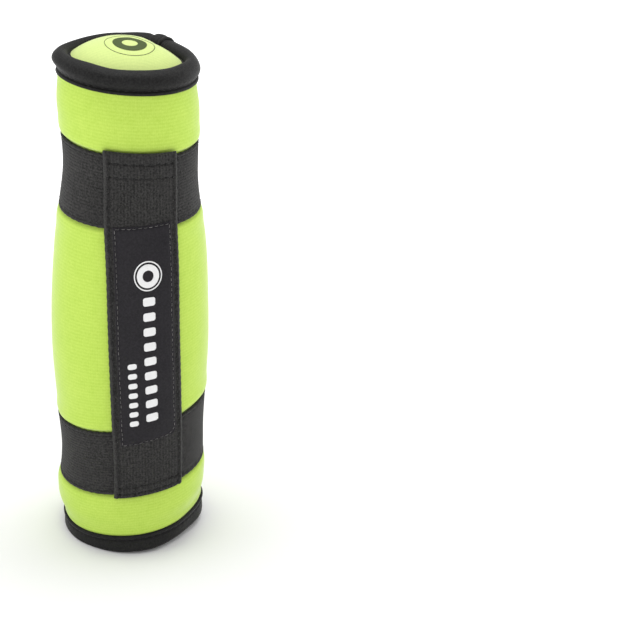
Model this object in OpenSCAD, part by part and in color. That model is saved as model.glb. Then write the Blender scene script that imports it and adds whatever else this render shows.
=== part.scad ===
// Soft hand weight: a filled neoprene cylinder with domed ends, two elastic bands and a hand strap.
// Millimetres. +Z runs along the long axis, the origin is the centre of the base it stands on,
// and the hand strap faces -Y.

/* [Body] */
// Height from the base to the top of the upper rim
rim_height = 232; // [222:1:240]
// How far the top dome stands above the upper rim
dome_rise = 5.5; // [3:0.5:8]
// Radius of the belly at its fattest
belly_r = 35.6; // [34:0.1:37]
// Radius over the upper band
upper_waist_r = 29.6; // [28.5:0.1:30.5]
// Radius over the lower band, where the filling has settled
lower_waist_r = 33.2; // [32:0.1:34]
// Thickness of the neoprene
neoprene_t = 3; // [2.5:0.1:3.2]
// Thickness of the inner bag that holds the filling
bag_t = 0.8; // [0.5:0.1:1]

/* [Rims] */
// Radius of the sleeve where the upper rim is bound
upper_neck_r = 29.4; // [28.5:0.1:30.5]
// Radius of the sleeve where the lower rim is bound
lower_neck_r = 31.6; // [30.5:0.1:32.5]
// Height of the binding on each rim
binding_h = 9.5; // [8.5:0.5:11]
// Thickness of the folded binding tape
binding_t = 1.3; // [1:0.1:1.6]
// Radius of the flat patch that the base stands on
base_flat_r = 19; // [16:1:21]

/* [Bands] */
// Width of the elastic webbing of the bands
webbing_w = 33; // [28:1:34]
// Thickness of the webbing
webbing_t = 1.4; // [1:0.1:1.6]
// Half of the distance between the middles of the two bands
band_offset = 64.8; // [62:0.1:66]
// How far the bands, as a pair, lie below the middle of the weight
band_drop = 2.3; // [0:0.1:4]
// Width of the closing seam's gap at the back
seam_gap = 0.3; // [0.2:0.1:0.5]

/* [Strap] */
// Width of the doubled strap
strap_w = 32; // [28:1:34]
// Thickness of the doubled strap
strap_t = 2.4; // [2:0.1:3]
// Clearance under the strap
strap_gap = 0.6; // [0.6:0.1:1]
// How far the upper end of the strap passes its band
upper_overhang = 2.7; // [1:0.1:4]
// How far the lower end of the strap passes its band
lower_overhang = 0.4; // [0:0.1:2.5]
// Length of the sewn upper end
upper_sewn = 12; // [10:1:14]
// Length of the sewn lower end
lower_sewn = 6.5; // [6:0.5:9]
// Slit between the sewn ends and the free middle
strap_slit = 0.3; // [0.3:0.1:0.5]

/* [Label] */
// Width of the label
label_w = 25.5; // [22:0.5:27]
// Length of the label
label_len = 105.5; // [80:0.5:110]
// Height of the label's middle above the middle of the weight
label_shift = -3.4; // [-5:0.1:4]
// Thickness of the label
label_t = 0.6; // [0.4:0.1:0.8]

/* [Hidden] */

$fn = 96;
lime = "#c8e86a";
charcoal = "#2f2c31";
webbing_grey = "#3b3736";
thread_grey = "#55504e";

fit = 0.05;            // gap between layers that are sewn together
lift = 0.03;           // gap under stitches and print
thread_w = 0.6;
thread_t = 0.23;
flatlock_w = 3;        // width of the stitching over the back seam
ink_t = 0.1;
reach = 60;            // longer than any radius, for cutting boxes
mid_z = rim_height / 2;
lower_lip_z = binding_h;
upper_lip_z = rim_height - binding_h;
lower_band_z = mid_z - band_drop - band_offset;
upper_band_z = mid_z - band_drop + band_offset;

// Height and radius of the stuffed outline, measured over the bands, from rim to rim
OUTLINE = [
    [lower_lip_z, lower_neck_r + 1],
    [lower_lip_z + 13, lower_waist_r + 1.1],
    [lower_band_z - 13, lower_waist_r + 0.1],
    [lower_band_z, lower_waist_r - 0.2],
    [lower_band_z + 18, lower_waist_r + 0.9],
    [mid_z - 22, belly_r],
    [mid_z + 4, belly_r - 0.3],
    [mid_z + 30, belly_r - 1.9],
    [upper_band_z - 15, upper_waist_r + 1.6],
    [upper_band_z, upper_waist_r],
    [upper_band_z + 15, upper_waist_r + 0.3],
    [upper_lip_z - 13, upper_waist_r + 1.3],
    [upper_lip_z, upper_neck_r + 0.2]
];

// ---- outline of the stuffed body ----

// Index of the span of the outline that holds height z
function span(z, i = 0) =
    i >= len(OUTLINE) - 2 || z < OUTLINE[i + 1][0] ? i : span(z, i + 1);

// Slope of the outline at key i
function slope(i) =
    let (a = OUTLINE[max(i - 1, 0)], b = OUTLINE[min(i + 1, len(OUTLINE) - 1)])
    (b[1] - a[1]) / (b[0] - a[0]);

// Radius over the bands at height z, a smooth curve through the keys
function body_r(z) =
    let (i = span(z), p = OUTLINE[i], q = OUTLINE[i + 1], h = q[0] - p[0])
    let (t = min(max((z - p[0]) / h, 0), 1))
    (2 * t^3 - 3 * t^2 + 1) * p[1] + (t^3 - 2 * t^2 + t) * h * slope(i)
    + (3 * t^2 - 2 * t^3) * q[1] + (t^3 - t^2) * h * slope(i + 1);

function smooth(t) = let (u = min(max(t, 0), 1)) u * u * (3 - 2 * u);

// The groove that a band presses into the sleeve: 1 under the band, 0 beyond its soft edge
groove_margin = 0.3;
groove_ramp = 4;
function groove(z, band_z) =
    1 - smooth((abs(z - band_z) - webbing_w / 2 - groove_margin) / groove_ramp);

// Radius of the sleeve's outside at height z
function sleeve_r(z) =
    body_r(z) - (webbing_t + fit) * max(groove(z, lower_band_z), groove(z, upper_band_z));

// Heights where a groove starts, reaches its depth or ends
function groove_edges(band_z) =
    let (a = webbing_w / 2 + groove_margin, b = a + groove_ramp)
    [band_z - b, band_z - (a + b) / 2, band_z - a, band_z + a, band_z + (a + b) / 2, band_z + b];

BREAKS = concat([lower_lip_z], groove_edges(lower_band_z), groove_edges(upper_band_z), [upper_lip_z]);

// Evenly spaced heights from z0 up to, but without, z1
function run(z0, z1, step) =
    let (n = max(1, ceil((z1 - z0) / step)))
    [for (k = [0 : n - 1]) z0 + (z1 - z0) * k / n];

// Heights along the sleeve, with every groove edge among them
function sleeve_heights(step) =
    concat([for (i = [0 : len(BREAKS) - 2]) each run(BREAKS[i], BREAKS[i + 1], step)], [upper_lip_z]);

function reversed(list) = [for (i = [len(list) - 1 : -1 : 0]) list[i]];

// ---- ends ----

seam_depth = 2;                      // how far an end panel reaches inside the lip
edge_h = binding_h - 1.5;            // where the sleeve and the panel's flange end inside the binding
flange_in = 2 * neoprene_t + 0.1;    // neck radius to the flange's inside
wall_in = flange_in + 1.2;           // neck radius to the panel's wall
emblem_r = 7.3;
emblem_hole_r = 3.6;
emblem_ring_r = 10.4;
emblem_line = 0.5;
face_steps = 8;

// Height of an end panel's outer face above the lip, at radius r
function face_h(r, neck_r, rise, flat_r) =
    let (u = max(0, r - flat_r) / (neck_r - wall_in - flat_r))
    edge_h + (binding_h - edge_h + rise) * (1 - u^2);

// Points of an end face from radius r0 to r1, shifted outwards by d
function face(r0, r1, neck_r, rise, flat_r, d) =
    [for (k = [0 : face_steps])
        let (r = r0 + (r1 - r0) * k / face_steps) [r, face_h(r, neck_r, rise, flat_r) + d]];

// Turns [radius, height above the lip] into [radius, z]
function above(points, lip_z, dir) = [for (p = points) [p[0], lip_z + dir * p[1]]];

module turned(points) {
    rotate_extrude() polygon(points);
}

// A turned shape of about radius r with a gap at the back
module wrapped(points, r, gap = seam_gap) {
    open = gap / r * 180 / PI;
    rotate([0, 0, 90 + open / 2]) rotate_extrude(angle = 360 - open) polygon(points);
}

module end_panel(neck_r, lip_z, dir, rise, flat_r) {
    wall_r = neck_r - wall_in;
    inner_r = wall_r - neoprene_t;
    flange_r = neck_r - flange_in;
    sleeve_in = neck_r - neoprene_t - fit;
    turned(above(concat(
        face(0, wall_r, neck_r, rise, flat_r, 0),
        [[wall_r, 1], [flange_r, 1], [flange_r, edge_h], [sleeve_in, edge_h]],
        [[sleeve_in, -seam_depth], [inner_r, -seam_depth]],
        reversed(face(0, inner_r, neck_r, rise, flat_r, -neoprene_t))
    ), lip_z, dir));
}

// The round print on an end face: a broad ring inside a thin one
module end_emblem(neck_r, lip_z, dir, rise, flat_r, d) {
    for (band = [[emblem_hole_r, emblem_r], [emblem_ring_r, emblem_ring_r + emblem_line]]) {
        turned(above(concat(
            face(band[0], band[1], neck_r, rise, flat_r, d),
            reversed(face(band[0], band[1], neck_r, rise, flat_r, d + ink_t))
        ), lip_z, dir));
    }
}

// ---- strips on the body's surface ----

// Shell from d0 to d1 outside the outline, between heights z0 and z1
function shell(z0, z1, d0, d1, step = 2) =
    let (heights = concat(run(z0, z1, step), [z1]))
    concat([for (z = heights) [body_r(z) + d1, z]], [for (z = reversed(heights)) [body_r(z) + d0, z]]);

// Part of a shell between x0 and x1, on the front (side -1) or the back (side 1)
module strip(z0, z1, x0, x1, d0, d1, side = -1) {
    intersection() {
        turned(shell(z0, z1, d0, d1));
        translate([x0, side < 0 ? -reach : 0, z0 - 1]) cube([x1 - x0, reach, z1 - z0 + 2]);
    }
}

module cross_row(z, half_w, d) {
    strip(z - thread_w / 2, z + thread_w / 2, -half_w, half_w, d, d + thread_t);
}

module side_rows(z0, z1, x, d) {
    for (side = [-1, 1]) {
        strip(z0, z1, side * x - thread_w / 2, side * x + thread_w / 2, d, d + thread_t);
    }
}

// ---- filling ----

bag_d = fit;
sand_d = bag_d + bag_t + fit;

// The heights of the sleeve's inner outline that lie well between z0 and z1
function heights_between(z0, z1) = [for (z = sleeve_heights(8)) if (z > z0 + 1 && z < z1 - 1) z];

// Outline of a solid that fills the cover, d inside its inner surfaces
function filling(d) =
    let (low_r = lower_neck_r - wall_in - neoprene_t - d, top_r = upper_neck_r - wall_in - neoprene_t - d)
    let (low_z = lower_lip_z + seam_depth + d, top_z = upper_lip_z - seam_depth - d)
    concat(
        above(face(0, low_r, lower_neck_r, 0, base_flat_r, -neoprene_t - d), lower_lip_z, -1),
        [[low_r, low_z]],
        [for (z = concat([low_z], heights_between(low_z, top_z), [top_z]))
            [sleeve_r(z) - neoprene_t - fit - d, z]],
        [[top_r, top_z]],
        reversed(above(face(0, top_r, upper_neck_r, dome_rise, 0, -neoprene_t - d), upper_lip_z, 1))
    );

module sand_fill() {
    color("#b8a888") turned(filling(sand_d));
}

module inner_bag() {
    color("#d8d8d4") difference() {
        turned(filling(bag_d));
        turned(filling(sand_d - fit));
    }
}

// ---- neoprene cover ----

module sleeve() {
    outer = [for (z = sleeve_heights(4)) [sleeve_r(z), z]];
    inner = [for (z = sleeve_heights(8)) [sleeve_r(z) - neoprene_t, z]];
    low_end = lower_lip_z - edge_h;
    top_end = upper_lip_z + edge_h;
    points = concat(
        [[lower_neck_r, low_end], [lower_neck_r, lower_lip_z]], outer,
        [[upper_neck_r, upper_lip_z], [upper_neck_r, top_end]],
        [[upper_neck_r - neoprene_t, top_end], [upper_neck_r - neoprene_t, upper_lip_z + 1]],
        reversed(inner),
        [[lower_neck_r - neoprene_t, lower_lip_z - 1], [lower_neck_r - neoprene_t, low_end]]
    );
    color(lime) wrapped(points, belly_r);
}

module back_seam_thread() {
    color(thread_grey) strip(lower_lip_z + 3, upper_lip_z - 3, -flatlock_w / 2, flatlock_w / 2,
        lift, thread_t, side = 1);
}

module top_panel() {
    color(lime) end_panel(upper_neck_r, upper_lip_z, 1, dome_rise, 0);
}

// The base print lies in a shallow recess, so that the flat face still meets the ground
recess_t = 0.15;
module base_panel() {
    color(lime) difference() {
        end_panel(lower_neck_r, lower_lip_z, -1, 0, base_flat_r);
        difference() {
            translate([0, 0, -1]) cylinder(h = 1 + recess_t, r = emblem_ring_r + 1);
            translate([0, 0, -2]) cylinder(h = 3, r = emblem_hole_r - 0.5);
        }
    }
}

module top_emblem() {
    color(charcoal) end_emblem(upper_neck_r, upper_lip_z, 1, dome_rise, 0, lift);
}

module base_emblem() {
    color(charcoal) end_emblem(lower_neck_r, lower_lip_z, -1, 0, base_flat_r, lift - recess_t);
}

// ---- rim bindings ----

corner_r = 3.2;
corner_steps = 6;
lip_h = 1.8;
lip_proud = 0.5;
stitch_groove = 0.6;

// Quarter turn of radius r about [x, y], from angle a0 to a1
function corner(x, y, r, a0, a1) =
    [for (k = [0 : corner_steps])
        let (a = a0 + (a1 - a0) * k / corner_steps) [x + r * cos(a), y + r * sin(a)]];

// Tape folded over the rim, with a narrow lip past its stitch groove
module binding(neck_r, lip_z, dir) {
    out_r = neck_r + fit + binding_t;
    in_r = neck_r - wall_in + fit;
    under_r = neck_r - flange_in - fit;
    tape_h = edge_h + fit;
    color(charcoal) turned(above(concat(
        [[neck_r + fit, tape_h], [neck_r + fit, 0.2], [out_r + lip_proud - 0.4, 0]],
        [[out_r + lip_proud, 0.4], [out_r + lip_proud, lip_h - 0.4], [out_r + lip_proud - 0.4, lip_h]],
        [[out_r - binding_t / 2, lip_h], [out_r - binding_t / 2, lip_h + stitch_groove]],
        [[out_r - 0.5, lip_h + stitch_groove], [out_r, lip_h + stitch_groove + 0.8]],
        corner(out_r - corner_r, binding_h - corner_r, corner_r, 0, 90),
        corner(in_r + corner_r / 2, binding_h - corner_r / 2, corner_r / 2, 90, 180),
        [[in_r, 1.2], [under_r, 1.2], [under_r, tape_h]]
    ), lip_z, dir));
}

module binding_thread(neck_r, lip_z, dir) {
    r = neck_r + fit + binding_t / 2 + lift;
    h = lip_h + 0.05;
    color(thread_grey) turned(above(
        [[r, h], [r + 0.4, h], [r + 0.4, h + 0.5], [r, h + 0.5]], lip_z, dir));
}

module top_binding() {
    binding(upper_neck_r, upper_lip_z, 1);
}

module base_binding() {
    binding(lower_neck_r, lower_lip_z, -1);
}

module top_binding_thread() {
    binding_thread(upper_neck_r, upper_lip_z, 1);
}

module base_binding_thread() {
    binding_thread(lower_neck_r, lower_lip_z, -1);
}

// ---- bands ----

row_inset = 2.2;

module band(z) {
    color(webbing_grey) wrapped(shell(z - webbing_w / 2, z + webbing_w / 2, -webbing_t, 0), body_r(z));
}

module band_thread(z) {
    for (edge = [-1, 1]) {
        row_z = z + edge * (webbing_w / 2 - row_inset);
        color(thread_grey) wrapped(
            shell(row_z - thread_w / 2, row_z + thread_w / 2, lift, thread_t), body_r(z), flatlock_w + 0.3);
    }
}

module upper_band() {
    band(upper_band_z);
}

module lower_band() {
    band(lower_band_z);
}

// ---- hand strap ----

strap_out = strap_gap + strap_t;
strap_low_z = lower_band_z - webbing_w / 2 - lower_overhang;
strap_top_z = upper_band_z + webbing_w / 2 + upper_overhang;
edge_row_x = strap_w / 2 - 1.9;

module strap_piece(z0, z1) {
    color(webbing_grey) strip(z0, z1, -strap_w / 2, strap_w / 2, strap_gap, strap_out);
}

module strap_upper_end() {
    strap_piece(strap_top_z - upper_sewn, strap_top_z);
}

module strap_middle() {
    strap_piece(strap_low_z + lower_sewn + strap_slit, strap_top_z - upper_sewn - strap_slit);
}

module strap_lower_end() {
    strap_piece(strap_low_z, strap_low_z + lower_sewn);
}

module strap_upper_thread() {
    color(thread_grey) {
        cross_row(strap_top_z - 4.5, edge_row_x - 1, strap_out + lift);
        cross_row(strap_top_z - upper_sewn + 1, edge_row_x - 1, strap_out + lift);
        side_rows(strap_top_z - upper_sewn + 0.5, strap_top_z - 2, edge_row_x, strap_out + lift);
    }
}

module strap_lower_thread() {
    color(thread_grey) {
        cross_row(strap_low_z + 2.3, edge_row_x - 1, strap_out + lift);
        cross_row(strap_low_z + lower_sewn - 1, edge_row_x - 1, strap_out + lift);
        side_rows(strap_low_z + 2, strap_low_z + lower_sewn - 0.5, edge_row_x, strap_out + lift);
    }
}

module strap_edge_thread() {
    color(thread_grey) side_rows(strap_low_z + lower_sewn + 1, strap_top_z - upper_sewn - 1,
        edge_row_x, strap_out + lift);
}

// ---- label ----

label_z = mid_z + label_shift;
label_d = strap_out + fit;
label_out = label_d + label_t;
label_row = 1.2;
mark_ring_r = 6.2;
mark_ring_w = 1.4;
mark_ring_tall = 1.12; // the print is stretched along the strap
mark_x = 1.5;          // the print sits to the right of the label's middle
mark_ring_z = label_z + 30.4;
marks_top_z = mark_ring_z - 10;
marks_low_z = label_z - label_len / 2 + 11;
bar_gap = 0.45;        // share of the bars' pitch that is left blank

module label() {
    color(charcoal) strip(label_z - label_len / 2, label_z + label_len / 2,
        -label_w / 2, label_w / 2, label_d, label_out);
}

module label_thread() {
    half_w = label_w / 2 - label_row;
    half_len = label_len / 2 - label_row;
    color(thread_grey) {
        cross_row(label_z - half_len, half_w - 1, label_out + lift);
        cross_row(label_z + half_len, half_w - 1, label_out + lift);
        side_rows(label_z - half_len, label_z + half_len, half_w, label_out + lift);
    }
}

// Plain printed ring near the label's upper end
module label_emblem() {
    half_h = mark_ring_r * mark_ring_tall;
    color("white") intersection() {
        turned(shell(mark_ring_z - half_h - 1, mark_ring_z + half_h + 1,
            label_out + lift, label_out + ink_t));
        translate([mark_x, 0, mark_ring_z]) scale([1, 1, mark_ring_tall]) rotate([90, 0, 0]) difference() {
            cylinder(h = reach, r = mark_ring_r, $fn = 12);
            translate([0, 0, -1]) cylinder(h = reach + 2, r = mark_ring_r - mark_ring_w, $fn = 12);
        }
    }
}

// Row of printed bars between heights z0 and z1, w wide about x
module bars(count, z0, z1, x, w) {
    pitch = (z1 - z0) / (count - bar_gap);
    for (k = [0 : count - 1]) {
        strip(z0 + k * pitch, z0 + (k + 1 - bar_gap) * pitch, x - w / 2, x + w / 2,
            label_out + lift, label_out + ink_t);
    }
}

// A row of broad bars, and a shorter row of small ones beside its lower half
module label_marks() {
    color("white") {
        bars(9, marks_low_z, marks_top_z, mark_x + 0.2, 5.4);
        bars(7, marks_low_z - 1, (marks_low_z + marks_top_z) / 2, mark_x - 7.9, 4.0);
    }
}

sand_fill();
inner_bag();
sleeve();
back_seam_thread();
top_panel();
base_panel();
top_emblem();
base_emblem();
top_binding();
base_binding();
top_binding_thread();
base_binding_thread();
upper_band();
lower_band();
band_thread(upper_band_z);  // upper_band_thread
band_thread(lower_band_z);  // lower_band_thread
strap_upper_end();
strap_lower_end();
strap_upper_thread();
strap_lower_thread();
strap_middle();
strap_edge_thread();
label();
label_thread();
label_emblem();
label_marks();
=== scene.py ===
import math

import bpy
import numpy as np
from mathutils import Matrix, Vector


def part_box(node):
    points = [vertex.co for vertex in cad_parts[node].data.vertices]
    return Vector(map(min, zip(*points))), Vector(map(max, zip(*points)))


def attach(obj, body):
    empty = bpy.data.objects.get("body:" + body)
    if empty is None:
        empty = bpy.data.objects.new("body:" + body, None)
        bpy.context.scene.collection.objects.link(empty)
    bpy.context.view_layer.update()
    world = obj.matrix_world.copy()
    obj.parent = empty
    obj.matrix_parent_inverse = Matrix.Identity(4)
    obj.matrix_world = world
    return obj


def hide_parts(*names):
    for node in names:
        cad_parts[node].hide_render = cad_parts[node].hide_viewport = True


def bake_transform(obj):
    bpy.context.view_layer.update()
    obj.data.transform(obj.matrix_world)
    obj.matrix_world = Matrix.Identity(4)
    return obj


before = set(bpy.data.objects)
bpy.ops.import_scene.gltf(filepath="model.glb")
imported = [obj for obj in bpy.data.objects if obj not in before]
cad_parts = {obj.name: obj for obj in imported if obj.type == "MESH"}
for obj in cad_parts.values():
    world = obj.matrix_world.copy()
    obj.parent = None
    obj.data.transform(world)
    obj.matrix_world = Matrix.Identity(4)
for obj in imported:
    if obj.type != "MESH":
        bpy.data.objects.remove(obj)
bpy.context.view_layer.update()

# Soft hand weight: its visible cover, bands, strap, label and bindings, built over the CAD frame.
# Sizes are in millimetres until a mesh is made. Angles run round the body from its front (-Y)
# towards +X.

MM = 0.001
PI = math.pi

# ---- sizes from the frame


def heights(node):
    """Lowest and highest z of a CAD node, in millimetres."""
    low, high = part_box(node)
    return low.z / MM, high.z / MM


def half_width(node):
    """Half of a CAD node's size along x, in millimetres."""
    low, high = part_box(node)
    return (high.x - low.x) / 2 / MM


LOW_LIP = heights("base_binding")[1]
TOP_LIP, RIM = heights("top_binding")
DOME_TOP = heights("top_panel")[1]
MID = RIM / 2
BANDS = {"upper_band": heights("upper_band"), "lower_band": heights("lower_band")}
STRAP_TOP = heights("strap_upper_end")[1]
STRAP_LOW = heights("strap_lower_end")[0]
STRAP_X = half_width("strap_middle")
UPPER_SEAM = heights("strap_upper_end")[0]
LOWER_SEAM = heights("strap_lower_end")[1]
LABEL_Z = heights("label")
LABEL_X = half_width("label")
RING_Z_BOX = heights("label_emblem")
RING_Z = sum(RING_Z_BOX) / 2
RING_R = half_width("label_emblem")
RING_TALL = (RING_Z_BOX[1] - RING_Z_BOX[0]) / 2 / RING_R
PRINT_X = sum(c.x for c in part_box("label_emblem")) / 2 / MM
MARKS_Z = heights("label_marks")
WEB_T = 1.4  # thickness of the bands
COVER_T = 2.4  # thickness of the cover between the bag and the outside
STRAP_IN = 0.6  # strap's underside above the outline
STRAP_OUT = 3.0  # strap's outside above the outline
LABEL_T = 0.6
RIB = 1.4  # pitch of the webbing's ribs
STITCH = 3.5  # pitch of the stitches
STITCH_SHARE = 0.72  # share of the pitch that a stitch takes
ROW_IN = 2.2  # rows of stitches from the edges of a band
BODY_R = 34  # body's radius, near enough to turn angles into lengths of cloth
PANEL_IN = 7.3  # wall of an end panel inside the rim's neck
PANEL_T = 2.8  # thickness of an end panel


def read_outline():
    """Heights and radii over the bands, from the stitching that runs down the back of the frame."""
    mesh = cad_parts["back_seam_thread"].data
    points = np.array([v.co for v in mesh.vertices]) / MM
    radius = np.hypot(points[:, 0], points[:, 1])
    level = np.round(points[:, 2], 2)
    z = np.unique(level)
    thread_lift = 0.03
    return z, np.array([radius[level == h].min() for h in z]) - thread_lift


OUTLINE_Z, OUTLINE_R = read_outline()


def ramp(t):
    """0 below 0, 1 above 1 and smooth between."""
    t = np.clip(t, 0, 1)
    return t * t * (3 - 2 * t)


def through(keys, x):
    """Smooth curve through (position, value) keys, level at both ends."""
    at, value = np.array(keys, float).T
    x = np.clip(x, at[0], at[-1])
    i = np.clip(np.searchsorted(at, x, side="right") - 1, 0, len(at) - 2)
    slope = np.gradient(value, at)
    slope[0] = slope[-1] = 0
    h = at[i + 1] - at[i]
    t = (x - at[i]) / h
    return ((2 * t**3 - 3 * t**2 + 1) * value[i] + (t**3 - 2 * t**2 + t) * h * slope[i]
            + (3 * t**2 - 2 * t**3) * value[i + 1] + (t**3 - t**2) * h * slope[i + 1])


def outline(z):
    """Radius over the bands at height z."""
    return np.interp(z, OUTLINE_Z, OUTLINE_R)


# ---- how the real one sits

FACING = math.radians(8)  # the strap faces this far to the right of the camera
ACROSS = np.array([math.cos(FACING), -math.sin(FACING), 0])

# Slope of each level across the camera's view, and how far the axis leans that way
TILT = [(0, 0.065), (LOW_LIP, 0.085), (35, 0.13), (67, 0.16), (MID, 0.08), (164, -0.01), (196, -0.065),
        (TOP_LIP, -0.075), (DOME_TOP, -0.075)]
LEAN = [(0, 0.6), (LOW_LIP, 0.4), (20, 0.0), (45, 0.6), (75, 0.2), (MID, 0.0), (145, 0.2), (165, 0.2),
        (185, 0.6), (210, -0.2), (DOME_TOP, -0.6)]
# How far the strap sits off the middle of the front
STRAP_SHIFT = [(STRAP_LOW, 2.8), (MID, 1.2), (STRAP_TOP, 0.3)]

# Factors on the radius round the rims, by degrees from the front
TOP_RIM_OUT = [(-180, 0.96), (-150, 0.915), (-120, 0.93), (-88, 1.025), (-45, 1.02), (0, 0.99), (45, 0.985),
               (90, 0.98), (120, 0.98), (146, 1.05), (180, 0.96)]
TOP_RIM_IN = [(-180, 0.98), (-135, 1.0), (-88, 1.1), (-45, 1.02), (0, 0.97), (40, 0.99), (78, 1.06),
              (112, 0.91), (145, 1.0), (180, 0.98)]
BASE_RIM = [(-180, 1.0), (-90, 0.965), (-50, 0.975), (0, 0.97), (30, 0.94), (52, 0.925), (92, 1.0),
            (135, 1.0), (180, 1.0)]
# How far the top rim's roll stands above its even height, by the same degrees
TOP_RIM_RISE = [(-180, -0.3), (-150, -1.3), (-115, -0.9), (-75, 0.1), (0, 0), (60, 0.2), (120, 0),
                (150, 0.2), (180, -0.3)]


def settle(points):
    """Tilts and leans the ideal shape as the real one stands."""
    points = np.array(points, float)
    z = points[..., 2].copy()
    across = points @ ACROSS
    points[..., 2] = z + through(TILT, z) * across
    return points + through(LEAN, z)[..., None] * ACROSS


def from_front(a):
    """Angle a in degrees, from -180 to 180."""
    return np.degrees((a + PI) % (2 * PI) - PI)


def from_back(a):
    """Angle between a and the back seam, in radians."""
    return np.minimum(np.abs(a - PI), np.abs(a + PI))


def rim_factor(a, z, r):
    """How far the rims are from round at angle a; it fades out down the cover."""
    degrees = from_front(a)
    share = np.clip((r - 22) / 8, 0, 1)
    top = through(TOP_RIM_OUT, degrees) * share + through(TOP_RIM_IN, degrees) * (1 - share)
    cover = 1 + 0.6 * (through(TOP_RIM_OUT, degrees) - 1)
    high = ramp((z - TOP_LIP + 45) / 45)
    on_rim = ramp((z - TOP_LIP + 1) / 2)
    low = ramp((LOW_LIP + 12 - z) / 12)
    top = top * on_rim + cover * (1 - on_rim)
    return 1 + (top - 1) * high + (through(BASE_RIM, degrees) - 1) * low


def round_body(a, z, r):
    """Settled points at angle a, height z and radius r."""
    a, z, r = np.broadcast_arrays(np.asarray(a, float), z, r)
    r = r * rim_factor(a, z, r)
    return settle(np.stack([r * np.sin(a), -r * np.cos(a), z], -1))


def on_body(a, z, d):
    """Points d outside the outline over the bands."""
    return round_body(a, z, outline(z) + d)


def on_strap(x, z, d):
    """Points on the strap, x across it from its middle."""
    r = outline(z) + d
    return on_body(np.arcsin((x + through(STRAP_SHIFT, z)) / r), z, d)


# ---- mesh helpers


def spaced(start, end, step, fine=(), width=0.6, count=5):
    """Even steps from start to end, with more of them close to the fine positions."""
    even = np.linspace(start, end, max(2, int(round(abs(end - start) / step)) + 1))
    extra = [np.linspace(f - width, f + width, count) for f in fine if start <= f <= end]
    both = np.unique(np.round(np.concatenate([even] + extra), 3))
    both = both[(both >= min(start, end)) & (both <= max(start, end))]
    keep = np.concatenate([[True], np.diff(both) > 0.04])
    both = both[keep]
    both[0], both[-1] = min(start, end), max(start, end)
    return both


def grid_faces(rows, cols, wrap=False):
    """Quads over a grid of points; wrap joins the last column to the first."""
    i = np.arange(rows - 1)[:, None] * cols
    j = np.arange(cols if wrap else cols - 1)[None, :]
    k = (j + 1) % cols
    return np.stack([i + j, i + k, i + cols + k, i + cols + j], -1).reshape(-1, 4)


def make(name, points, faces, uv=None):
    """Smooth object from points in millimetres. uv has one pair per point, in millimetres of cloth."""
    mesh = bpy.data.meshes.new(name)
    mesh.from_pydata((np.asarray(points).reshape(-1, 3) * MM).tolist(), [], [list(f) for f in faces])
    mesh.polygons.foreach_set("use_smooth", [True] * len(mesh.polygons))
    if uv is not None:
        layer = mesh.uv_layers.new(name="cloth")
        corner = np.zeros(len(mesh.loops), np.int32)
        mesh.loops.foreach_get("vertex_index", corner)
        layer.data.foreach_set("uv", np.asarray(uv, float).reshape(-1, 2)[corner].ravel())
    mesh.update()
    obj = bpy.data.objects.new(name, mesh)
    bpy.context.scene.collection.objects.link(obj)
    return obj


def spread(values, a):
    """Repeats values at every angle of a."""
    return values + np.zeros_like(a)


def sheet_mesh(outer, inner):
    """Points and faces of a closed sheet between two grids of points that share their layout."""
    rows, cols = outer.shape[:2]
    count = rows * cols
    quads = grid_faces(rows, cols)
    index = np.arange(count).reshape(rows, cols)
    loop = np.concatenate([index[0, :-1], index[:-1, -1], index[-1, :0:-1], index[:0:-1, 0]])
    after = np.roll(loop, -1)
    wall = np.stack([after, loop, loop + count, after + count], -1)
    faces = np.concatenate([quads, quads[:, ::-1] + count, wall])
    return np.concatenate([outer.reshape(-1, 3), inner.reshape(-1, 3)]), faces


def slab(name, outer, inner, uv):
    """Closed sheet between two grids of points, with the same cloth on both faces."""
    points, faces = sheet_mesh(outer, inner)
    return make(name, points, faces, np.concatenate([uv.reshape(-1, 2)] * 2))


def slabs(name, pairs):
    """One mesh of several closed sheets."""
    points, faces = [], []
    base = 0
    for outer, inner in pairs:
        sheet_points, sheet_faces = sheet_mesh(outer, inner)
        points.append(sheet_points)
        faces.append(sheet_faces + base)
        base += len(sheet_points)
    return make(name, np.concatenate(points), np.concatenate(faces))


def loft(name, rings, uv=None, closed=False):
    """Surface through closed rings of points: capped at both ends, or closed back to the first ring."""
    rows, cols = rings.shape[:2]
    if closed:
        faces = grid_faces(rows + 1, cols, wrap=True) % (rows * cols)
        return make(name, rings, faces.tolist(), uv)
    faces = grid_faces(rows, cols, wrap=True).tolist()
    faces.append(list(range(cols))[::-1])
    faces.append(list(range((rows - 1) * cols, rows * cols)))
    return make(name, rings, faces, uv)


def thick_edge(s, half, t):
    """Share of the full thickness at s from the middle: a round edge of radius t / 2."""
    into = np.clip((np.abs(s) - (half - t / 2)) / (t / 2), 0, 1)
    return np.sqrt(np.maximum(1 - into**2, 0.01))


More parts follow.
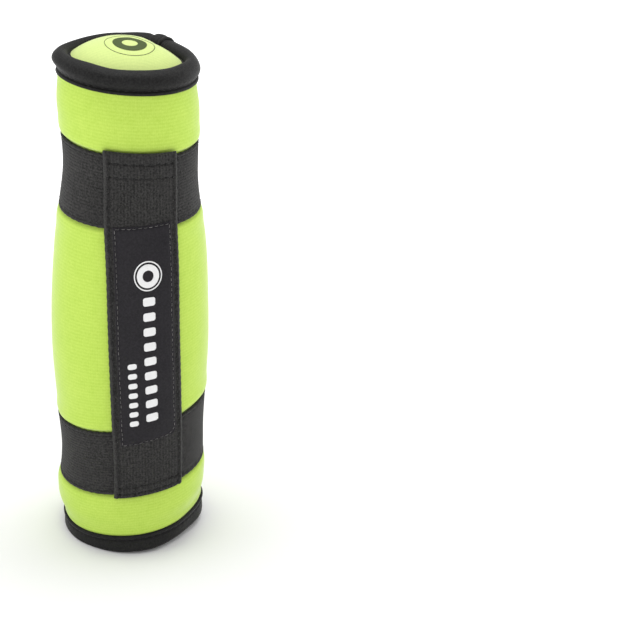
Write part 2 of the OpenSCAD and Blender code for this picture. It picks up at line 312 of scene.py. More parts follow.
def strands(name, paths, radius):
    """Threads: one closed tube along each path, its ends tapered, all in one mesh."""
    sides = 7
    tip = 0.45
    points, faces = [], []
    base = 0
    angle = np.arange(sides) * 2 * PI / sides
    for path in paths:
        path = np.asarray(path, float)
        along = np.gradient(path, axis=0)
        along /= np.linalg.norm(along, axis=1)[:, None]
        out = path * [1, 1, 0]
        out = out / np.linalg.norm(out, axis=1)[:, None]
        side = np.cross(along, out)
        side /= np.linalg.norm(side, axis=1)[:, None]
        out = np.cross(side, along)
        n = len(path)
        taper = np.ones(n)
        taper[0] = taper[-1] = tip
        circle = (np.cos(angle)[None, :, None] * side[:, None]
                  + np.sin(angle)[None, :, None] * out[:, None])
        ring = path[:, None] + (radius * taper)[:, None, None] * circle
        points.append(ring.reshape(-1, 3))
        faces += (grid_faces(n, sides, wrap=True) + base).tolist()
        faces.append([base + k for k in range(sides)][::-1])
        faces.append([base + (n - 1) * sides + k for k in range(sides)])
        base += n * sides
    return make(name, np.concatenate(points), faces)


def stitches(name, surface, lines, d, pitch=STITCH, radius=0.2):
    """Rows of stitches on a surface. A line is ((u, z), (u, z)) in the surface's terms."""
    bow = np.array([-0.28, 0.02, 0.1, 0.02, -0.28])
    paths = []
    for (u0, z0), (u1, z1) in lines:
        start, end = surface(u0, z0, d), surface(u1, z1, d)
        count = max(1, int(round(np.linalg.norm(end - start) / pitch)))
        for k in range(count):
            middle = (k + 0.5) / count
            t = middle + STITCH_SHARE / count * np.linspace(-0.5, 0.5, len(bow))
            wobble = 0.1 * math.sin(1.9 * k)
            paths.append(surface(u0 + (u1 - u0) * t + wobble, z0 + (z1 - z0) * t + wobble, d + bow))
    return strands(name, paths, radius)


def dent(x, at, width):
    """A soft groove: 1 at its middle, 0 beyond its width."""
    return np.exp(-((x - at) / (width / 2)) ** 2)


def holes(along):
    """1 at each stitch hole of a row and 0 halfway between them."""
    return 0.5 + 0.5 * np.cos(2 * PI * along / STITCH)


def stitch_angles(k, count):
    """Angles along stitch k of the count that go round the body."""
    return 2 * PI * (k + 0.5) / count + STITCH_SHARE * PI / count * np.linspace(-1, 1, 5)


def rolled(distance, reach):
    """Share of the full height near a round edge, by the distance from it."""
    return np.sqrt(np.clip(1 - np.clip(1 - distance / reach, 0, 1) ** 2, 0.02, 1))


def corner_inset(distance, radius):
    """How far a side is drawn in by a round corner, by the distance from the end."""
    return radius - np.sqrt(np.maximum(radius**2 - np.clip(radius - distance, 0, radius) ** 2, 0))


# ---- materials


class Net:
    """A node material under construction."""

    def __init__(self, name, **shader):
        self.material = bpy.data.materials.new(name)
        self.material.use_nodes = True
        self.tree = self.material.node_tree
        self.shader = self.tree.nodes["Principled BSDF"]
        for key, value in shader.items():
            self.shader.inputs[key.replace("_", " ")].default_value = value

    def add(self, kind, inputs=(), **settings):
        """New node; each input is given a value or another node's output."""
        node = self.tree.nodes.new(kind)
        for key, value in settings.items():
            setattr(node, key, value)
        for key, value in dict(inputs).items():
            if isinstance(value, bpy.types.NodeSocket):
                self.tree.links.new(value, node.inputs[key])
            else:
                node.inputs[key].default_value = value
        return node

    def math(self, operation, a, b=0.0):
        """Result of a maths node."""
        return self.add("ShaderNodeMath", {0: a, 1: b}, operation=operation).outputs[0]

    def cloth(self):
        """The cloth's own coordinates: along and across, in millimetres."""
        uv = self.add("ShaderNodeUVMap", uv_map="cloth").outputs[0]
        split = self.add("ShaderNodeSeparateXYZ", {0: uv})
        return split.outputs[0], split.outputs[1]

    def place(self):
        """Position on the object, in millimetres."""
        at = self.add("ShaderNodeTexCoord").outputs["Object"]
        return self.add("ShaderNodeVectorMath", {0: at, "Scale": 1 / MM}, operation="SCALE").outputs[0]

    def wave(self, x, pitch, shift=0.0):
        """Sine of x from 0 to 1, with one crest each pitch."""
        turn = self.math("ADD", self.math("MULTIPLY", x, 2 * PI / pitch), shift)
        halves = {0: self.math("SINE", turn), 1: 0.5, 2: 0.5}
        return self.add("ShaderNodeMath", halves, operation="MULTIPLY_ADD").outputs[0]

    def noise(self, at, size, detail=2.0, roughness=0.5):
        """Noise whose blots are size millimetres across."""
        inputs = {"Vector": at, "Scale": 1 / size, "Detail": detail, "Roughness": roughness}
        return self.add("ShaderNodeTexNoise", inputs).outputs["Fac"]

    def speckle(self, at, size, gain=3.0):
        """Noise stretched to the full range from 0 to 1."""
        stretch = {0: self.noise(at, size, 2.0, 0.6), 1: gain, 2: 0.5 - gain / 2}
        return self.add("ShaderNodeMath", stretch, operation="MULTIPLY_ADD", use_clamp=True).outputs[0]

    def blend(self, factor, a, b):
        """Colour a at factor 0 and b at factor 1."""
        return self.add("ShaderNodeMix", {0: factor, 6: a, 7: b}, data_type="RGBA").outputs[2]

    def sum(self, *terms):
        """Weighted sum of (socket, weight) pairs."""
        total = None
        for socket, weight in terms:
            part = self.math("MULTIPLY", socket, weight)
            total = part if total is None else self.math("ADD", total, part)
        return total

    def finish(self, colour, height=None, depth=0.05, strength=1.0):
        """Links the colour and the bump, which is depth millimetres for a height of 1."""
        self.tree.links.new(colour, self.shader.inputs["Base Color"])
        if height is not None:
            inputs = {"Height": height, "Distance": depth * MM, "Strength": strength}
            bump = self.add("ShaderNodeBump", inputs)
            self.tree.links.new(bump.outputs[0], self.shader.inputs["Normal"])
        return self.material


def grey(value, warm=1.0):
    """Grey, a little redder where warm is above 1."""
    return (value * warm, value, value / warm, 1)


def neoprene(name, pale=0.0):
    """Lime knit over foam: fine courses across, wales along, a light fuzz and slow mottling. pale mixes in
    warm white, a painted highlight as from strong top light.
    """
    net = Net(name, Roughness=0.75, Sheen_Weight=0.55, Sheen_Roughness=0.35,
              Sheen_Tint=(0.95, 1.0, 0.85, 1), Specular_IOR_Level=0.2)
    u, v = net.cloth()
    at = net.place()
    wander = net.sum((net.noise(at, 9.0), 1.6))
    courses = net.wave(v, 1.55, wander)
    wales = net.wave(u, 1.1, wander)
    fuzz = net.speckle(at, 0.35)
    grain = net.speckle(at, 0.9)
    patches = net.speckle(at, 5.0, 2.0)
    slow = net.noise(at, 22.0, 2.0)
    tone = net.sum((courses, 0.2), (wales, 0.08), (fuzz, 0.22), (grain, 0.3), (patches, 0.2))
    deep = net.blend(slow, (0.40, 0.62, 0.062, 1), (0.44, 0.65, 0.075, 1))
    light = net.blend(slow, (0.57, 0.77, 0.125, 1), (0.61, 0.79, 0.145, 1))
    # pale blends the colour towards warm white: a painted highlight, the same cloth as if under strong top
    # light
    colour = net.blend(pale, net.blend(tone, deep, light), (1.0, 0.93, 0.72, 1))
    height = net.sum((courses, 0.16), (wales, 0.1), (fuzz, 0.3), (grain, 0.4))
    return net.finish(colour, height, 0.07, 0.55)


def webbing():
    """Charcoal elastic webbing: each rib is crossed by fine ends of yarn, and its colour is painted lighter
    on the crest and darker in the valleys, a painted highlight and painted shade.
    """
    net = Net("ribbed_webbing", Roughness=0.8, Sheen_Weight=0.08, Sheen_Roughness=0.4,
              Specular_IOR_Level=0.15)
    u, v = net.cloth()
    at = net.place()
    # ribs also paints the colour: painted highlight on each crest, painted shade in each valley, in step
    # with the ribs' bump
    ribs = net.wave(v, RIB, PI / 2)
    yarn = net.wave(u, 0.62, net.sum((net.wave(v, 2 * RIB), 3.0)))
    fuzz = net.speckle(at, 0.35)
    slubs = net.speckle(at, 0.8)
    slow = net.noise(at, 14.0, 2.0)
    # the ribs' share of the tone is painted highlight and painted shade; yarn, fuzz and slubs are the
    # cloth's own
    tone = net.sum((ribs, 0.15), (yarn, 0.12), (fuzz, 0.18), (slubs, 0.55))
    colour = net.blend(tone, net.blend(slow, grey(0.001), grey(0.002, 1.03)),
                       net.blend(slow, grey(0.054, 1.02), grey(0.066, 1.03)))
    height = net.sum((ribs, 0.35), (yarn, 0.4), (fuzz, 0.3), (slubs, 0.3))
    return net.finish(colour, height, 0.12, 1.0)


def tape():
    """Soft black binding tape with a fine close knit."""
    net = Net("binding_tape", Roughness=0.6, Sheen_Weight=0.12, Sheen_Roughness=0.3, Specular_IOR_Level=0.18)
    at = net.place()
    fine = net.speckle(at, 0.3)
    grain = net.speckle(at, 0.8)
    cloud = net.noise(at, 5.0, 3.0)
    tone = net.sum((fine, 0.2), (grain, 0.55), (cloud, 0.25))
    colour = net.blend(tone, grey(0.001), grey(0.022, 1.02))
    return net.finish(colour, net.sum((fine, 0.4), (grain, 0.3), (cloud, 0.9)), 0.08, 0.7)


def label_cloth():
    """Close satin weave, blue-black, with a faint diagonal."""
    net = Net("label_satin", Roughness=0.55, Specular_IOR_Level=0.2, Sheen_Weight=0.05, Sheen_Roughness=0.4)
    u, v = net.cloth()
    at = net.place()
    twill = net.wave(net.math("ADD", u, v), 0.5)
    fine = net.speckle(at, 0.35)
    grain = net.speckle(at, 0.9)
    slow = net.noise(at, 9.0, 2.0)
    tone = net.sum((twill, 0.15), (fine, 0.2), (grain, 0.45), (slow, 0.2))
    colour = net.blend(tone, (0.003, 0.0025, 0.004, 1), (0.021, 0.0185, 0.023, 1))
    return net.finish(colour, net.sum((twill, 0.4), (fine, 0.4), (grain, 0.2)), 0.04, 0.6)


def thread(name, dark, light):
    """Twisted sewing thread, lighter in places."""
    net = Net(name, Roughness=0.6, Sheen_Weight=0.2, Sheen_Roughness=0.4, Specular_IOR_Level=0.35)
    at = net.place()
    fine = net.noise(at, 0.22, 2.0, 0.6)
    worn = net.speckle(at, 2.0, 2.5)
    colour = net.blend(net.sum((fine, 0.4), (worn, 0.6)), dark, light)
    return net.finish(colour, fine, 0.05, 0.7)


def ink(name, dark, light, size):
    """Print that has sunk a little into the cloth under it."""
    net = Net(name, Roughness=0.6, Specular_IOR_Level=0.3)
    at = net.place()
    fine = net.noise(at, size, 3.0, 0.65)
    return net.finish(net.blend(fine, dark, light), fine, 0.03, 0.5)


def plain_bag():
    """Crinkled pale film of the inner bag."""
    net = Net("bag_film", Roughness=0.45)
    at = net.place()
    crinkle = net.noise(at, 6.0, 4.0)
    return net.finish(net.blend(crinkle, grey(0.55), grey(0.75)), crinkle, 0.6)


def dry_sand():
    """Dry grain of the filling."""
    net = Net("dry_sand", Roughness=0.9)
    at = net.place()
    grain = net.noise(at, 0.5, 4.0, 0.8)
    return net.finish(net.blend(grain, (0.30, 0.23, 0.14, 1), (0.62, 0.52, 0.36, 1)), grain, 0.3)


LIME = neoprene("lime_neoprene")
# the same lime cloth with a painted highlight, for the end panels that face the top light
LIME_WITH_PAINTED_HIGHLIGHT = neoprene("lime_neoprene_painted_highlight", 0.27)
WEBBING = webbing()
TAPE = tape()
LABEL = label_cloth()
DARK_THREAD = thread("black_thread", grey(0.002), grey(0.022, 1.02))
LABEL_THREAD = thread("grey_label_thread", grey(0.005, 1.02), grey(0.24, 1.03))
WHITE_INK = ink("white_ink", grey(0.72), grey(0.92), 0.3)
DARK_INK = ink("dark_ink", (0.020, 0.028, 0.012, 1), (0.10, 0.15, 0.03, 1), 0.35)


def dress(obj, material, body="weight"):
    """Gives a piece its material and slot, and lets it ride on a body."""
    obj.data.materials.clear()
    obj.data.materials.append(material)
    if body:
        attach(obj, body)
    return obj


# ---- cover

SEAM = 0.25 / 35  # half of the gap at the back, as an angle
UNDER = WEB_T + 0.1  # how deep a band presses in
TOP_NECK = outline(TOP_LIP) - 0.2
LOW_NECK = outline(LOW_LIP) - 1.0


def around(count):
    """Angles round the body from one side of the back seam to the other, closer together beside it."""
    near = np.array([SEAM, 0.018, 0.036, 0.06])
    return np.concatenate([near - PI, np.linspace(0.085 - PI, PI - 0.085, count), PI - near[::-1]])


def groove(z):
    """1 where a band presses into the cover, 0 away from the bands."""
    depth = 0
    for low, high in BANDS.values():
        middle, half = (low + high) / 2, (high - low) / 2
        depth = np.maximum(depth, 1 - ramp((np.abs(z - middle) - half + 0.2) / 2.2))
    return depth


def cover_radius(z):
    """Radius of the cover before it swells: pressed in by the bands and drawn in at both rims."""
    r = outline(z) - UNDER * groove(z)
    r = np.where(z < LOW_LIP + 1, LOW_NECK + (r - LOW_NECK) * ramp((z - LOW_LIP + 1.5) / 2.5), r)
    r = np.where(z > TOP_LIP - 1, TOP_NECK + (r - TOP_NECK) * ramp((TOP_LIP + 1.5 - z) / 2.5), r)
    return r - 1.6 * ramp((z - TOP_LIP - 0.6) / 2.0)


def swell():
    """Cloth simulation of the filled cover: angles, heights and how far it swells out at each."""
    cols, rows = 96, 120
    a = np.arange(cols) * 2 * PI / cols - PI
    z = np.linspace(LOW_LIP, TOP_LIP, rows)
    r = cover_radius(z)
    points = np.stack([r[:, None] * np.sin(a), -r[:, None] * np.cos(a), spread(z[:, None], a)], -1)
    obj = loft("cover_cloth", points)
    held = np.minimum(1, groove(z) + dent(z, LOW_LIP, 4) + dent(z, TOP_LIP, 4))
    group = obj.vertex_groups.new(name="held")
    for k in range(rows):
        group.add(range(k * cols, (k + 1) * cols), float(held[k]), "REPLACE")
    cloth = obj.modifiers.new("cloth", "CLOTH")
    cloth.settings.vertex_group_mass = "held"
    cloth.settings.quality = 6
    cloth.settings.tension_stiffness = 12
    cloth.settings.compression_stiffness = 12
    cloth.settings.shear_stiffness = 8
    cloth.settings.bending_stiffness = 1.5
    cloth.settings.use_pressure = True
    cloth.settings.uniform_pressure_force = 4
    cloth.settings.effector_weights.gravity = 0
    scene = bpy.context.scene
    for frame_number in range(1, 21):
        scene.frame_set(frame_number)
    shape = obj.evaluated_get(bpy.context.evaluated_depsgraph_get()).to_mesh()
    moved = np.zeros(len(shape.vertices) * 3)
    shape.vertices.foreach_get("co", moved)
    moved = moved.reshape(rows, cols, 3) / MM
    out = np.hypot(moved[..., 0], moved[..., 1]) - r[:, None]
    bpy.data.objects.remove(obj)
    scene.frame_set(1)
    return a, z, np.clip(out, -0.3, 1.4)


SWELL_A, SWELL_Z, SWELL = swell()


def swelling(a, z):
    """The simulated swelling at angle a and height z, none under the strap."""
    cols, rows = len(SWELL_A), len(SWELL_Z)
    j = (a - SWELL_A[0]) / (2 * PI / cols)
    i = np.clip((z - SWELL_Z[0]) / (SWELL_Z[1] - SWELL_Z[0]), 0, rows - 1.001)
    j0, i0 = np.floor(j).astype(int), np.floor(i).astype(int)
    tj, ti = j - j0, i - i0
    low = SWELL[i0, j0 % cols] * (1 - tj) + SWELL[i0, (j0 + 1) % cols] * tj
    high = SWELL[i0 + 1, j0 % cols] * (1 - tj) + SWELL[i0 + 1, (j0 + 1) % cols] * tj
    arc = np.abs(a) * BODY_R
    free = np.where((z > STRAP_LOW) & (z < STRAP_TOP), ramp((arc - STRAP_X - 1) / 6), 1)
    return (low * (1 - ti) + high * ti) * free


def cover_point(a, z, depth=0.0):
    """Outside of the cover, or depth millimetres below it."""
    seam = from_back(a) * (BODY_R - 1)
    arc = np.abs(a) * BODY_R
    between = np.zeros_like(z)
    for low, high in BANDS.values():
        edge = np.minimum(np.abs(z - low + 4), np.abs(z - high - 4))
        between = np.maximum(between, np.exp(-(edge / 3.2) ** 2) * 0.45 * (1 - groove(z)))
    between = between * np.where((z > STRAP_LOW) & (z < STRAP_TOP), ramp((arc - STRAP_X) / 5), 1)
    ripple = 0.12 * np.sin(3 * a + 0.05 * z) + 0.08 * np.sin(5 * a - 0.09 * z + 1)
    r = cover_radius(z) + (swelling(a, z) + ripple) * (1 - groove(z)) + between
    return round_body(a, z, r - 0.9 * dent(seam, 0, 1.6) - depth)


def build_cover():
    """Cover from rim to rim, open along the back seam."""
    edges = [e for pair in BANDS.values() for e in pair]
    z = spaced(2.0, TOP_LIP + 7.5, 1.05, edges, 2.4, 9)
    a, z = np.meshgrid(around(256), z)
    uv = np.stack([a * BODY_R, z], -1)
    cover = slab("cover", cover_point(a, z), cover_point(a, z, COVER_T), uv)
    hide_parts("sleeve")
    return dress(cover, LIME)


# ---- ends

EDGE_TOP = 6.8  # height of an end panel's edge above the lip
END_RINGS = ((3.4, 7.0), (9.9, 10.1))  # inner and outer radius of each printed ring


def rim_path(points, steps):
    """Smooth curve through the points of a section."""
    points = np.array(points, float)
    at = np.concatenate([[0], np.cumsum(np.linalg.norm(np.diff(points, axis=0), axis=1) ** 0.5)])
    fine = np.interp(np.arange((len(at) - 1) * steps + 1) / steps, np.arange(len(at)), at)
    return np.stack([through(np.stack([at, points[:, k]], 1), fine) for k in (0, 1)], 1)


def bulge(r, wall, rise, flat, power):
    """How far an end panel stands above its edge at radius r: flat in the middle, then falling."""
    return rise * (1 - np.maximum(0, (r - flat) / (wall - flat)) ** power)


def end_panel(name, node, neck, lip, way, rise, flat, power):
    """Panel over one end: outer face, the wall that dips inside the rim, and the inner face."""
    wall = neck - PANEL_IN
    share = np.concatenate([[0.002], np.linspace(0.03, 0.9, 24), np.linspace(0.92, 1, 8)])
    lifted = bulge(share * wall, wall, rise, flat, power)
    outer = np.stack([share * wall, EDGE_TOP + lifted], 1)
    side = np.array([[wall + 0.05, EDGE_TOP - 0.6], [wall, 2.5], [wall - 0.3, -1.2], [wall - 1.4, -1.8],
                     [wall - 2.6, -1.2]])
    inner = np.stack([share[::-1] * (wall - PANEL_T), EDGE_TOP - PANEL_T + lifted[::-1]], 1)
    section = np.concatenate([outer, side, inner])
    cols = 144
    a = np.arange(cols) * 2 * PI / cols
    r, h = spread(section[:, :1], a), spread(section[:, 1:], a)
    rings = round_body(a, lip + way * h, r)
    if way > 0:
        rings = rings[:, ::-1]
    rings[..., 2] = np.maximum(rings[..., 2], 0.15)
    flat_uv = np.stack([r * np.sin(a), -r * np.cos(a)], -1)
    panel = loft(name, rings, flat_uv if way < 0 else flat_uv[:, ::-1])
    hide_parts(node)
    # the end panels take the lime copy with the painted highlight
    return dress(panel, LIME_WITH_PAINTED_HIGHLIGHT)


def end_print(name, node, neck, lip, way, rise, flat, power, centre, lift=0.05):
    """Printed rings on an end panel, a thin layer that follows its face."""
    wall = neck - PANEL_IN
    points, faces = [], []
    cols, steps = 96, 7
    a = np.arange(cols) * 2 * PI / cols
    layer = np.array([0.06] * steps + [-0.12] * steps)[:, None]
    lowest = np.array([0.08] * steps + [0.3] * steps)[:, None]
    for k, (inner_r, outer_r) in enumerate(END_RINGS):
        across = np.linspace(inner_r, outer_r, steps)
        r = np.concatenate([across, across[::-1]])[:, None]
        x = r * np.sin(a) + centre[0]
        y = -r * np.cos(a) + centre[1]
        to_axis = np.hypot(x, y)
        h = EDGE_TOP + bulge(to_axis, wall, rise, flat, power) + lift + layer
        rings = round_body(np.arctan2(x, -y), lip + way * h, to_axis)
        rings[..., 2] = np.maximum(rings[..., 2], lowest)
        ring_faces = grid_faces(2 * steps + 1, cols, wrap=True) % (2 * steps * cols)
        faces += (ring_faces + k * 2 * steps * cols).tolist()
        points.append(rings.reshape(-1, 3))
    if way > 0:
        faces = [f[::-1] for f in faces]
    obj = make(name, np.concatenate(points), faces)
    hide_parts(node)
    return dress(obj, DARK_INK)


# Sections of the folded tape: radius from the neck, and height above the lip
TOP_TAPE = [(0.15, 0.6), (0.5, 0.25), (1.0, 0.2), (1.35, 0.5), (1.4, 1.0), (1.2, 1.5), (0.75, 1.75),
            (0.5, 2.05), (0.7, 2.45), (1.35, 3.1), (2.0, 4.2), (2.2, 5.5), (1.9, 6.9), (1.1, 8.3),
            (-0.2, 9.35), (-1.8, 9.95), (-3.4, 9.95), (-4.8, 9.4), (-5.7, 8.5), (-6.2, 7.6), (-6.45, 7.1),
            (-6.75, 7.05), (-7.1, 7.5), (-7.6, 7.55), (-7.95, 7.1), (-7.85, 6.6), (-7.35, 6.2)]
BASE_TAPE = [(0.15, 0.5), (0.6, 0.12), (1.35, 0.12), (1.75, 0.5), (1.8, 1.1), (1.5, 1.75), (0.95, 2.0),
             (0.7, 2.3), (0.85, 2.65), (1.25, 3.2), (1.45, 4.4), (1.6, 5.8), (1.6, 7.2), (1.25, 8.3),
             (0.5, 9.1), (-0.8, 9.45), (-3.0, 9.48), (-5.0, 9.3), (-6.2, 8.4), (-6.7, 7.5), (-7.0, 7.2),
             (-7.4, 7.5), (-7.8, 7.2), (-7.7, 6.6), (-7.35, 6.2)]
TAPE_UNDER = [(-7.2, 3.0), (-6.6, 1.3), (-6.25, 3.0), (-6.1, 6.0), (-5.2, 7.7), (-3.0, 8.15), (-0.8, 7.9),
              (0.0, 6.5), (0.08, 3.5)]


def tuck(a, h):
    """How far the top tape is drawn in below its roll, at the left."""
    return dent(from_front(a), -88, 70) * (1.2 * dent(h, 3.6, 3.6) + 0.9 * dent(h, 1.0, 2.0))


def binding(name, node, tape_section, neck, lip, way):
    """Tape folded over a rim: a lip below its stitch groove, a soft roll and a narrow inner edge."""
    outer = rim_path(tape_section, 4)
    section = np.concatenate([outer, rim_path(TAPE_UNDER, 3)])
    cols = 240
    a = np.arange(cols) * 2 * PI / cols
    r = spread(neck + section[:, :1], a)
    h = spread(section[:, 1:], a)
    roll = np.clip((h - 2.6) / 4, 0, 1)
    uneven = 0.22 * np.sin(2 * a + 0.7) + 0.16 * np.sin(5 * a + 2) + 0.08 * np.sin(11 * a)
    puckers = 0.10 * np.sin(a * 61) * dent(h, 3.0, 2.2)
    r = r + roll * uneven + puckers
    if way > 0:
        degrees = from_front(a)
        h = h + roll * (through(TOP_RIM_RISE, degrees) + 0.15 * np.sin(7 * a + 1))
        h = h - roll * (0.8 * dent(degrees, 130.5, 3.5) + 0.5 * dent(degrees, 149, 4))
        r = r - tuck(a, section[:, 1:]) * (section[:, :1] > 0)
    else:
        r = r - 1.3 * roll * dent(np.degrees(a), 42, 44)
    rings = round_body(a, lip + way * h, r)
    if way < 0:
        rings[..., 2] = np.maximum(rings[..., 2], 0.0)
    else:
        rings = rings[:, ::-1]
    obj = loft(name, rings, closed=True)
    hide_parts(node)
    return dress(obj, TAPE)


def tape_end(name, middle, width):
    """The square end of the top tape, lapped over its start: middle and width in degrees."""
    section = rim_path(TOP_TAPE, 4)[34:-14]
    along = np.gradient(section, axis=0)
    normal = np.stack([along[:, 1], -along[:, 0]], 1)
    normal /= np.linalg.norm(normal, axis=1)[:, None]
    t = np.linspace(0, 1, len(section))
    s = np.linspace(-1, 1, 17)
    edge = thick_edge(s[None, :], 1, 0.25) * thick_edge((2 * t - 1)[:, None], 1, 0.25)
    skew = math.radians(2.5) * (2 * t - 1)[:, None]
    a = math.radians(middle) + math.radians(width / 2) * s[None, :] + skew
    crease = -0.35 * dent(s, -0.35, 0.3)[None, :] + 0.2 * dent(s, 0.3, 0.7)[None, :]

    def layer(d):
        r = TOP_NECK + section[:, :1] + normal[:, :1] * d
        h = section[:, 1:] + normal[:, 1:] * d
        return round_body(a, TOP_LIP + h, r)

    top, under = layer(0.1 + 0.6 * edge + crease * edge), layer(-0.2)
    uv = np.stack([a * TOP_NECK, spread(t[:, None] * 16, a)], -1)
    obj = slab(name, top[::-1], under[::-1], uv)
    return dress(obj, TAPE)


# ---- bands and strap


def webbing_height(across):
    """Height of the ribs at a position across the webbing."""
    return 0.035 * np.cos(2 * PI * across / RIB)


def build_band(name, low, high):
    """Elastic band round the body, closed by the seam at the back."""
    half, middle = (high - low) / 2, (high + low) / 2
    v = spaced(-half, half, RIB / 5, (-half, half, -half + ROW_IN, half - ROW_IN), 0.5, 7)
    a, v = np.meshgrid(around(270), v)
    radius = outline(middle)
    arc = a * radius
    scallop = 0.1 * np.cos(2 * PI * arc / STITCH) * np.clip((np.abs(v) - half + 1.5) / 1.5, 0, 1)
    z = middle + v + np.sign(v) * scallop
    row = dent(np.abs(v), half - ROW_IN, 0.9)
    edge = thick_edge(v, half, WEB_T)
    top = webbing_height(v) - row * (0.12 + 0.25 * holes(arc) ** 3)
    top = top + 0.12 * dent(np.abs(v), half - 0.8, 1.2)
    seam = 0.35 * dent(from_back(a) * radius, 0, 2)
    outer = on_body(a, z, -WEB_T / 2 + WEB_T / 2 * edge + top * edge - seam)
    inner = on_body(a, z, -WEB_T / 2 - WEB_T / 2 * edge)
    band = slab(name + "_webbing", outer, inner, np.stack([arc, v], -1))
    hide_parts(name)
    return dress(band, WEBBING)


def band_stitches(name, low, high):
    """Two rows of stitches round a band, each in a shallow groove."""
    middle, half = (low + high) / 2, (high - low) / 2
    radius = outline(middle)
    count = int(round(2 * PI * radius / STITCH))
    bow = np.array([-0.3, -0.03, 0.03, -0.03, -0.3])
    paths = []
    for side in (-1, 1):
        for k in range(1, count - 1):
            paths.append(on_body(stitch_angles(k, count) - PI, middle + side * (half - ROW_IN), bow))
    obj = strands(name + "_stitches", paths, 0.17)
    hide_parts(name + "_thread")
    return dress(obj, DARK_THREAD)


CRISP = 0.03  # last row of a half before it meets the other, which keeps that edge sharp
EDGE_ROW = STRAP_X - 1.95  # rows along the strap's edges, from its middle
CROSS_ROWS = [STRAP_TOP - 5.0, UPPER_SEAM + 0.6, STRAP_LOW + 2.3, LOWER_SEAM - 1.0]


def strap_top(x, z):
    """How far the strap's outside stands from its plain face: rolled edges, ribs and stitch grooves."""
    side = np.abs(x)
    roll = 0.3 * dent(side, STRAP_X - 1.0, 1.9)
    edge_groove = 0.55 * dent(side, EDGE_ROW - 0.1, 0.85) * (0.75 + 0.35 * holes(z) ** 2)
    flat_part = np.clip((EDGE_ROW - 0.6 - side) / 0.5, 0, 1)
    cross = 0
    for row in CROSS_ROWS:
        cross = cross + dent(z, row, 1.0) * (0.5 + 0.3 * holes(x) ** 2) * (side < EDGE_ROW)
    hem = 0.22 * (ramp((z - UPPER_SEAM + 0.2) / 0.6) + ramp((LOWER_SEAM - z + 0.2) / 0.6))
    return roll - edge_groove + webbing_height(x) * (0.35 + 0.65 * flat_part) - cross + hem


def build_strap(name, z0, z1, nodes, upper):
    """Half of the doubled strap, from its sewn end to the middle of the weight."""
    x = spaced(-STRAP_X, STRAP_X, RIB / 5, (-STRAP_X, STRAP_X, -EDGE_ROW, EDGE_ROW), 0.6, 7)
    end = z1 if upper else z0
    z = spaced(z0, z1, 0.9, [r for r in CROSS_ROWS if z0 < r < z1] + [end], 0.9, 9)
    z = np.sort(np.append(z, MID + CRISP if upper else MID - CRISP))
    x, z = np.meshgrid(x, z)
    thick = STRAP_OUT - STRAP_IN
    scallop = 0.09 * np.cos(2 * PI * z / STITCH) * np.clip((np.abs(x) - STRAP_X + 2) / 2, 0, 1)
    width = 1 - 0.012 * ramp((np.abs(z - MID) - 40) / 40)
    edge = thick_edge(x, STRAP_X, thick) * rolled(np.abs(end - z), 1.1)
    middle = (STRAP_OUT + STRAP_IN) / 2
    place_x = (x + np.sign(x) * scallop) * width
    outer = on_strap(place_x, z, middle + (thick / 2 + strap_top(x, z)) * edge)
    inner = on_strap(place_x, z, middle - thick / 2 * edge)
    strap = slab(name, outer, inner, np.stack([z, x], -1))
    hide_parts(*nodes)
    dress(strap, WEBBING, body=None)
    return follow(strap)


def follow(obj):
    """Bakes the object's placement into its mesh."""
    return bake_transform(obj)


def strap_stitches(name, upper, nodes):
    """Edge rows and cross rows of one half of the strap."""
    low, high = (MID, STRAP_TOP - 1.6) if upper else (STRAP_LOW + 1.6, MID)
    lines = [((side * EDGE_ROW, low), (side * EDGE_ROW, high)) for side in (-1, 1)]
    for row in CROSS_ROWS:
        if low < row < high:
            lines.append(((-EDGE_ROW + 1.2, row), (EDGE_ROW - 1.2, row)))
    obj = stitches(name, on_strap, lines, STRAP_OUT - 0.12)
    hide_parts(*nodes)
    dress(obj, DARK_THREAD, body=None)
    return follow(obj)


# ---- label

LABEL_D = STRAP_OUT + 0.15  # label's underside above the outline
LABEL_SKEW_TOP = 0.065  # slope of the label's upper end
LABEL_SKEW_LOW = 0.03  # slope of its lower end
LABEL_ROW = 0.8  # stitches from the label's edge
CORNER = 3.6  # radius of the label's round lower corner
BAR_CORNER = 1.1  # radius of a printed bar's corners


def label_end(x, upper):
    """Height of the label's slanted end at x."""
    if upper:
        return LABEL_Z[1] + LABEL_SKEW_TOP * x
    return LABEL_Z[0] + LABEL_SKEW_LOW * x


def label_edge(x, z):
    """Distance from a point of the label to its nearest edge."""
    side = LABEL_X - np.abs(x)
    return np.minimum(side, np.minimum(label_end(x, True) - z, z - label_end(x, False)))


def label_face(x, z):
    """How far the label's face stands above the strap's outline."""
    edge = label_edge(x, z)
    row = dent(edge, LABEL_ROW, 1.0)
    soft = 0.06 * np.sin(0.11 * z + 0.3 * x) + 0.05 * np.sin(0.31 * z - 0.2 * x)
    return LABEL_D + LABEL_T - 0.28 * row + soft * np.clip(edge / 3, 0, 1)


